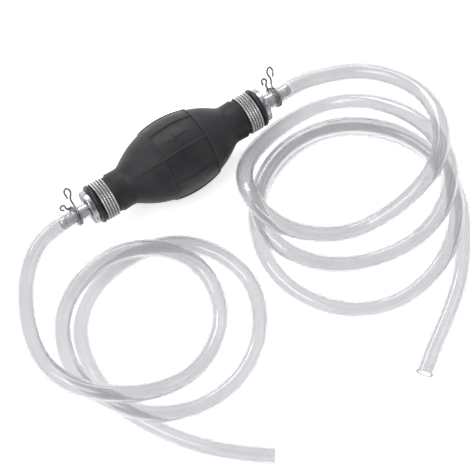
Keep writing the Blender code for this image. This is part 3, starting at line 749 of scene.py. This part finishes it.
def make_collar(end):
    """Outer radius: crown - depth (1 - bulge) + tooth wave where the bulge is high.

    The bulge is |sin|^0.5 of five half waves from end to end, so that ridges are broad and
    grooves are narrow.
    """
    x = np.linspace(COLLAR_START, COLLAR_END, COLLAR_ROWS)
    share = (x - COLLAR_START) / (COLLAR_END - COLLAR_START)
    bulge = np.sqrt(np.abs(np.sin(np.pi * RIDGES * share)))
    radius = COLLAR_RADIUS - CROWN_EASE - RIDGE_DEPTH * (1.0 - bulge)
    bore = [
        (COLLAR_END, BORE_RADIUS), (TAIL_END + GAP, BORE_RADIUS),
        (TAIL_END + GAP, TAIL_RADIUS + GAP), (COLLAR_START, TAIL_RADIUS + GAP),
    ]
    outline = np.concatenate([np.stack([x, radius], axis=1), bore])
    outline[:, 0] *= SIDES[end]
    angles = full_turn(TEETH * TOOTH_COLUMNS)
    crown = np.clip((bulge - TOOTH_START) / TOOTH_FADE, 0.0, 1.0)
    crown = np.concatenate([crown, np.zeros(len(bore))])[:, None]
    wave = crown * TOOTH_HEIGHT * np.cos(TEETH * angles)[None, :] - crown * CROWN_EASE
    grid = turn(outline, angles, wave)
    collar = make_piece(f"knurled_{end}_collar", grid, KNURLED, "root")
    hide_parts(f"{end}_collar")


for collar_end in SIDES:
    make_collar(collar_end)

# %% [markdown]
# ## O-rings
#
# The O-ring seals the joint between the collar and the barb. It is a torus: one circle turned
# about the bulb's axis.

# %% Seal rubber and the two rings
CORD_COLUMNS, RING_COLUMNS = 32, 120


def seal_rubber():
    """Smooth black rubber with a faint dusting."""
    finish, tree, shader = new_finish("seal_rubber", Specular_IOR_Level=0.5)
    dust = remap(tree, noise(tree, object_place(tree), size=0.004, detail=4.0))
    colour = between(tree, dust, srgb(20, 20, 21), srgb(30, 30, 32))
    tree.links.new(colour, shader.inputs["Base Color"])
    dull = remap(tree, dust, low=0.34, high=0.46, start=0.0, end=1.0)
    tree.links.new(dull, shader.inputs["Roughness"])
    return finish


SEAL = seal_rubber()


def make_o_ring(end):
    """Torus: x = centre - c sin t, radius = middle + c cos t, with c half the cord."""
    cord = O_RING_CORD / 2
    t = full_turn(CORD_COLUMNS)
    outline = np.stack([
        SIDES[end] * (O_RING_X - cord * np.sin(t)), COLLAR_RADIUS - cord + cord * np.cos(t)
    ], axis=1)
    grid = turn(outline, full_turn(RING_COLUMNS))
    ring = make_piece(f"round_{end}_o_ring", grid, SEAL, "root")
    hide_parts(f"{end}_o_ring")


for ring_end in SIDES:
    make_o_ring(ring_end)

# %% [markdown]
# ## Barbs
#
# Each barb is one turned piece: a round flange that presses on the O-ring, and a stem that grips
# the inside of the hose. Its outline is a list of corners, and each corner is rounded by a short
# curve, because a real turned edge always catches a line of light.

# %% Flange and stem
BARB_BORE = 0.00275
TIP_RADIUS, TIP_TAPER = 0.0034, 0.0012
GRIP_RADIUS = 0.0036  # the foot of each shallow step in the stem
BOSS_RADIUS, BOSS_START = 0.0072, 0.056  # the boss that sits inside the collar
BARB_COLUMNS = 96
TENTH = 0.0001  # a tenth of a millimetre
BARB_OUTLINE = (  # (x, radius, how far its corner is rounded in tenths of a millimetre)
    (BARB_TIP, BARB_BORE, 1), (BARB_TIP, TIP_RADIUS, 2), (BARB_TIP - TIP_TAPER, STEM_RADIUS, 3),
    (0.0806, STEM_RADIUS, 1.5), (0.0802, GRIP_RADIUS, 1), (0.0772, STEM_RADIUS, 1.5),
    (0.0768, GRIP_RADIUS, 1), (0.0738, STEM_RADIUS, 1.5), (FLANGE_END, STEM_RADIUS, 2),
    (FLANGE_END, FLANGE_RADIUS, 8), (FLANGE_START, FLANGE_RADIUS, 6),
    (FLANGE_START, BOSS_RADIUS, 2), (BOSS_START, BOSS_RADIUS, 2), (BOSS_START, BARB_BORE, 2),
)


def make_barb(end):
    """The outline, its corners rounded, turned about the axis: bore, stem, flange and boss."""
    corners = np.array(BARB_OUTLINE)
    outline = round_corners(corners[:, :2], corners[:, 2] * TENTH)
    outline[:, 0] *= SIDES[end]
    barb = make_piece(
        f"turned_{end}_barb", turn(outline, full_turn(BARB_COLUMNS)), ALUMINIUM, "root",
    )
    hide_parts(f"{end}_barb")


for barb_end in SIDES:
    make_barb(barb_end)

# %% [markdown]
# ## Spring clamps
#
# One springy wire goes round the hose twice, and each of its ends rises into an ear with a curl
# for the fingers. Squeezing the ears together opens the ring. The wire's middle line is a smooth
# curve through points given as an angle, a radius and a distance along the hose.

# %% Spring steel
def spring_steel():
    """Plated wire: brighter and darker patches along it."""
    finish, tree, shader = new_finish("spring_steel", Metallic=1.0)
    patches = remap(tree, noise(tree, object_place(tree), size=0.0025))
    colour = between(tree, patches, srgb(122, 121, 119), srgb(150, 148, 146))
    tree.links.new(colour, shader.inputs["Base Color"])
    dull = remap(tree, patches, low=0.24, high=0.38, start=0.0, end=1.0)
    tree.links.new(dull, shader.inputs["Roughness"])
    return finish


STEEL = spring_steel()

# %% Bend the wire
WIRE_GAP = 0.0004
WIRE = 0.00135  # as thick as the plated wire looks
WIRE_COLUMNS = 12
WIRE_TIPS = (0.2, 0.42)  # radius of the last two rings, as a share of the wire's thickness
CLAMP_STATIONS = 420
TURNS = 2
HELIX_POINTS, HELIX_SPAN = 25, (0.02, 0.98)  # the ends are left to the bend into the ears
EAR_STEP = 10.0  # degrees from the tall ear round to the short one
EARS = {  # angle of the tall ear in degrees, then (height, lean, width of the curl) of each ear
    "inlet": (28.0, (0.0115, 0.005, -0.0038), (0.0075, 0.0, 0.0034)),
    "outlet": (50.0, (0.013, 0.0, 0.0038), (0.005, -0.005, 0.0034)),
}
RING = HOSE_RADIUS + GAP + CLAMP_WIRE / 2
EAR_SHAPE = np.array([
    (0.2, 0.0), (0.42, 0.0), (0.66, 0.42), (0.86, 0.45), (1.0, 0.05), (0.9, -0.42),
    (0.68, -0.47), (0.5, -0.4),
])  # share of the ear's length, and of its curl's width


def ear(angle, foot, height, lean, width):
    """Rows of (angle, radius, distance along): the shape laid along the unit vector (height, lean)
    and, across it, along (-lean, height)."""
    length = math.hypot(height, lean)
    up, across = EAR_SHAPE[:, 0], EAR_SHAPE[:, 1] * width
    radius = RING + up * height - across * lean / length
    along = foot + up * lean + across * height / length
    return np.stack([np.full(len(up), angle), radius, along], axis=1)


def clamp_line(end):
    """The wire's middle line: down one ear, round the hose as a helix, and up the other ear.

    Each point is read from (r cos a, r sin a) about the hose's axis.
    """
    first, tall, short = EARS[end]
    turned = TURNS * 360.0 + EAR_STEP
    foot = (CLAMP_WIRE + WIRE_GAP) * turned / 360.0 / 2
    share = np.linspace(*HELIX_SPAN, HELIX_POINTS)
    helix = np.stack([
        first + turned * share, np.full(HELIX_POINTS, RING), foot * (1 - 2 * share)
    ], axis=1)
    points = np.concatenate([
        ear(first, foot, *tall)[::-1], helix, ear(first + turned, -foot, *short)
    ])
    angle = np.radians(points[:, 0])
    line = np.stack([
        SIDES[end] * CLAMP_X + points[:, 2], points[:, 1] * np.cos(angle),
        AXIS + points[:, 1] * np.sin(angle),
    ], axis=1)
    return smooth_curve(line, CLAMP_STATIONS)


def steady_frames(line):
    """Side and top vectors that turn as little as they can: each side drops its part along the
    next tangent. Every step needs the one before, so this is a loop."""
    tangent = np.gradient(line, axis=0)
    tangent /= np.linalg.norm(tangent, axis=1)[:, None]
    side = np.zeros_like(tangent)
    last = np.cross(tangent[0], [0.0, 0.3, 1.0])  # any direction off the tangent would do
    for station, way in enumerate(tangent):
        last = last - way * (last @ way)
        last /= np.linalg.norm(last)
        side[station] = last
    return side, np.cross(tangent, side)


def make_wire(name, line, thickness, body):
    """Rings of half the thickness, with two smaller rings at each end to round it off."""
    radius = np.full(len(line), thickness / 2)
    radius[[0, -1]] = thickness * WIRE_TIPS[0]
    radius[[1, -2]] = thickness * WIRE_TIPS[1]
    grid = rings(line, radius, full_turn(WIRE_COLUMNS), *steady_frames(line))
    first_ring = np.arange(WIRE_COLUMNS)
    caps = [first_ring[::-1], (len(line) - 1) * WIRE_COLUMNS + first_ring]
    wire = make_piece(
        name, grid, STEEL, body, round_rows=False, along=run_length(line), caps=caps
    )
    fix_outward(wire)
    return wire


for clamp_end in SIDES:
    clamp = make_wire(
        f"wire_{clamp_end}_clamp", clamp_line(clamp_end), WIRE, f"{clamp_end}_clamp"
    )
    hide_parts(f"{clamp_end}_hose_clamp")

# %% [markdown]
# ## The valves inside
#
# The valve pieces are sealed in the necks. A spring has to shorten as its poppet lifts, and a
# CAD solid can't. Each spring is wound again here as a fine helix with an even pitch between
# the ends of its CAD part, and it keeps that length. The other pieces keep their CAD shapes and
# only get finishes: turned aluminium, moulded acetal and seal rubber.

# %% Valve springs
SPRING_RADIUS = 0.0036
SPRING_WIRE = 0.0006
SPRING_TURNS = 3.5
SPRING_STATIONS = 240


def spring_line(low, high):
    """A helix round the pump's axis, (r cos a, r sin a), from the poppet's side at high to the
    retainer's side at low, with the distance along in step with the angle a."""
    share = np.linspace(0.0, 1.0, SPRING_STATIONS)
    angle = 2 * np.pi * SPRING_TURNS * share
    along = high - SPRING_WIRE / 2 - (high - low - SPRING_WIRE) * share
    return np.stack([
        along, SPRING_RADIUS * np.cos(angle), AXIS + SPRING_RADIUS * np.sin(angle)
    ], axis=1)


for spring_end in SIDES:
    low, high = (corner.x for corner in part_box(f"{spring_end}_valve_spring"))
    spring = make_wire(
        f"helical_{spring_end}_spring", spring_line(low, high), SPRING_WIRE, "root"
    )
    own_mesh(spring)
    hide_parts(f"{spring_end}_valve_spring")
    print(spring.name, "is", round((high - low) * 1000, 2), "mm long at rest")

# %% Finishes for the valve pieces
def moulded_acetal():
    """White plastic with a slight mottle and a soft gloss."""
    finish, tree, shader = new_finish("moulded_acetal")
    mottle = remap(tree, noise(tree, object_place(tree), size=0.003))
    colour = between(tree, mottle, srgb(226, 226, 222), srgb(236, 236, 233))
    tree.links.new(colour, shader.inputs["Base Color"])
    dull = remap(tree, mottle, low=0.38, high=0.5, start=0.0, end=1.0)
    tree.links.new(dull, shader.inputs["Roughness"])
    return finish


ACETAL = moulded_acetal()
VALVE_FINISHES = {  # by the ending of the piece's name
    "valve_body": ALUMINIUM, "poppet": ACETAL, "retainer": ACETAL, "washer": SEAL
}
for node_name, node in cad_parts.items():
    for ending, finish in VALVE_FINISHES.items():
        if node_name.endswith(ending):
            node.data.materials.clear()
            node.data.materials.append(finish)
            print(node_name, "is", finish.name)

# %% [markdown]
# ## Floor and light
#
# A pale floor and wide, soft lamps show the rubber's shape without hard shadows. The strongest
# lamp stands behind the bulb, so the ribs cast a line of shade towards the viewer, and the long
# bright lines that make clear hose readable come from the same lamps.

# %% Studio
FLOOR_HALF = 6
ROOM_LIGHT, DARK_LIGHT = 0.62, 0.12
DARK_WAY = (0.1, -0.44, 0.89)
DARK_EDGE = (0.74, 0.9)
LAMPS = {  # azimuth, elevation, distance, (width, height), watts
    "key_lamp": (-95.0, 60.0, 1.6, (1.0, 0.6), 9.0),
    "fill_lamp": (60.0, 50.0, 1.8, (0.8, 0.6), 2.0),
    "back_lamp": (172.0, 42.0, 1.7, (1.2, 0.4), 12.0),
}


def plain_floor():
    """Pale matt floor that glows a little, like a light table."""
    finish, tree, shader = new_finish(
        "pale_floor", Roughness=0.9, Specular_IOR_Level=0.1, Emission_Strength=0.6
    )
    tone = noise(tree, object_place(tree), size=0.6, detail=1.0)
    colour = between(tree, tone, srgb(247, 247, 248), srgb(249, 249, 250))
    tree.links.new(colour, shader.inputs["Base Color"])
    return finish


def make_floor():
    """A wide flat square at Z = 0."""
    mesh = bpy.data.meshes.new("floor")
    corners = [(-1, -1), (1, -1), (1, 1), (-1, 1)]
    points = [(FLOOR_HALF * x, FLOOR_HALF * y, 0) for x, y in corners]
    mesh.from_pydata(points, [], [(0, 1, 2, 3)])
    mesh.materials.append(plain_floor())
    floor = bpy.data.objects.new("floor", mesh)
    bpy.context.scene.collection.objects.link(floor)


def make_lamp(name, azimuth, elevation, distance, size, power):
    """A broad soft lamp aimed at the middle of the object."""
    data = bpy.data.lights.new(name, "AREA")
    data.shape = "RECTANGLE"
    data.size, data.size_y = size
    data.energy = power
    lamp = bpy.data.objects.new(name, data)
    bpy.context.scene.collection.objects.link(lamp)
    back = direction(math.radians(azimuth), math.radians(elevation))
    place(lamp, CAMERA_AIM + back * distance, back)


def make_room():
    """White room that darkens overhead in front, as direction . DARK_WAY goes over DARK_EDGE.

    The dark part gives the metal and the hose a dark line beside each bright one.
    """
    world = bpy.data.worlds.new("soft_room")
    world.use_nodes = True
    tree = world.node_tree
    ways = add(tree, "ShaderNodeTexCoord").outputs["Generated"]
    toward = add(tree, "ShaderNodeVectorMath", [(0, ways)], operation="DOT_PRODUCT")
    toward.inputs[1].default_value = DARK_WAY
    light = remap(tree, toward.outputs["Value"], ROOM_LIGHT, DARK_LIGHT, *DARK_EDGE)
    tree.links.new(light, tree.nodes["Background"].inputs["Strength"])
    tree.nodes["Background"].inputs["Color"].default_value = (1.0, 1.0, 1.0, 1.0)
    bpy.context.scene.world = world


make_floor()
for lamp_name, lamp_settings in LAMPS.items():
    make_lamp(lamp_name, *lamp_settings)
make_room()
bpy.context.scene.view_settings.view_transform = "Standard"
print("floor, room and", len(LAMPS), "lamps ready")
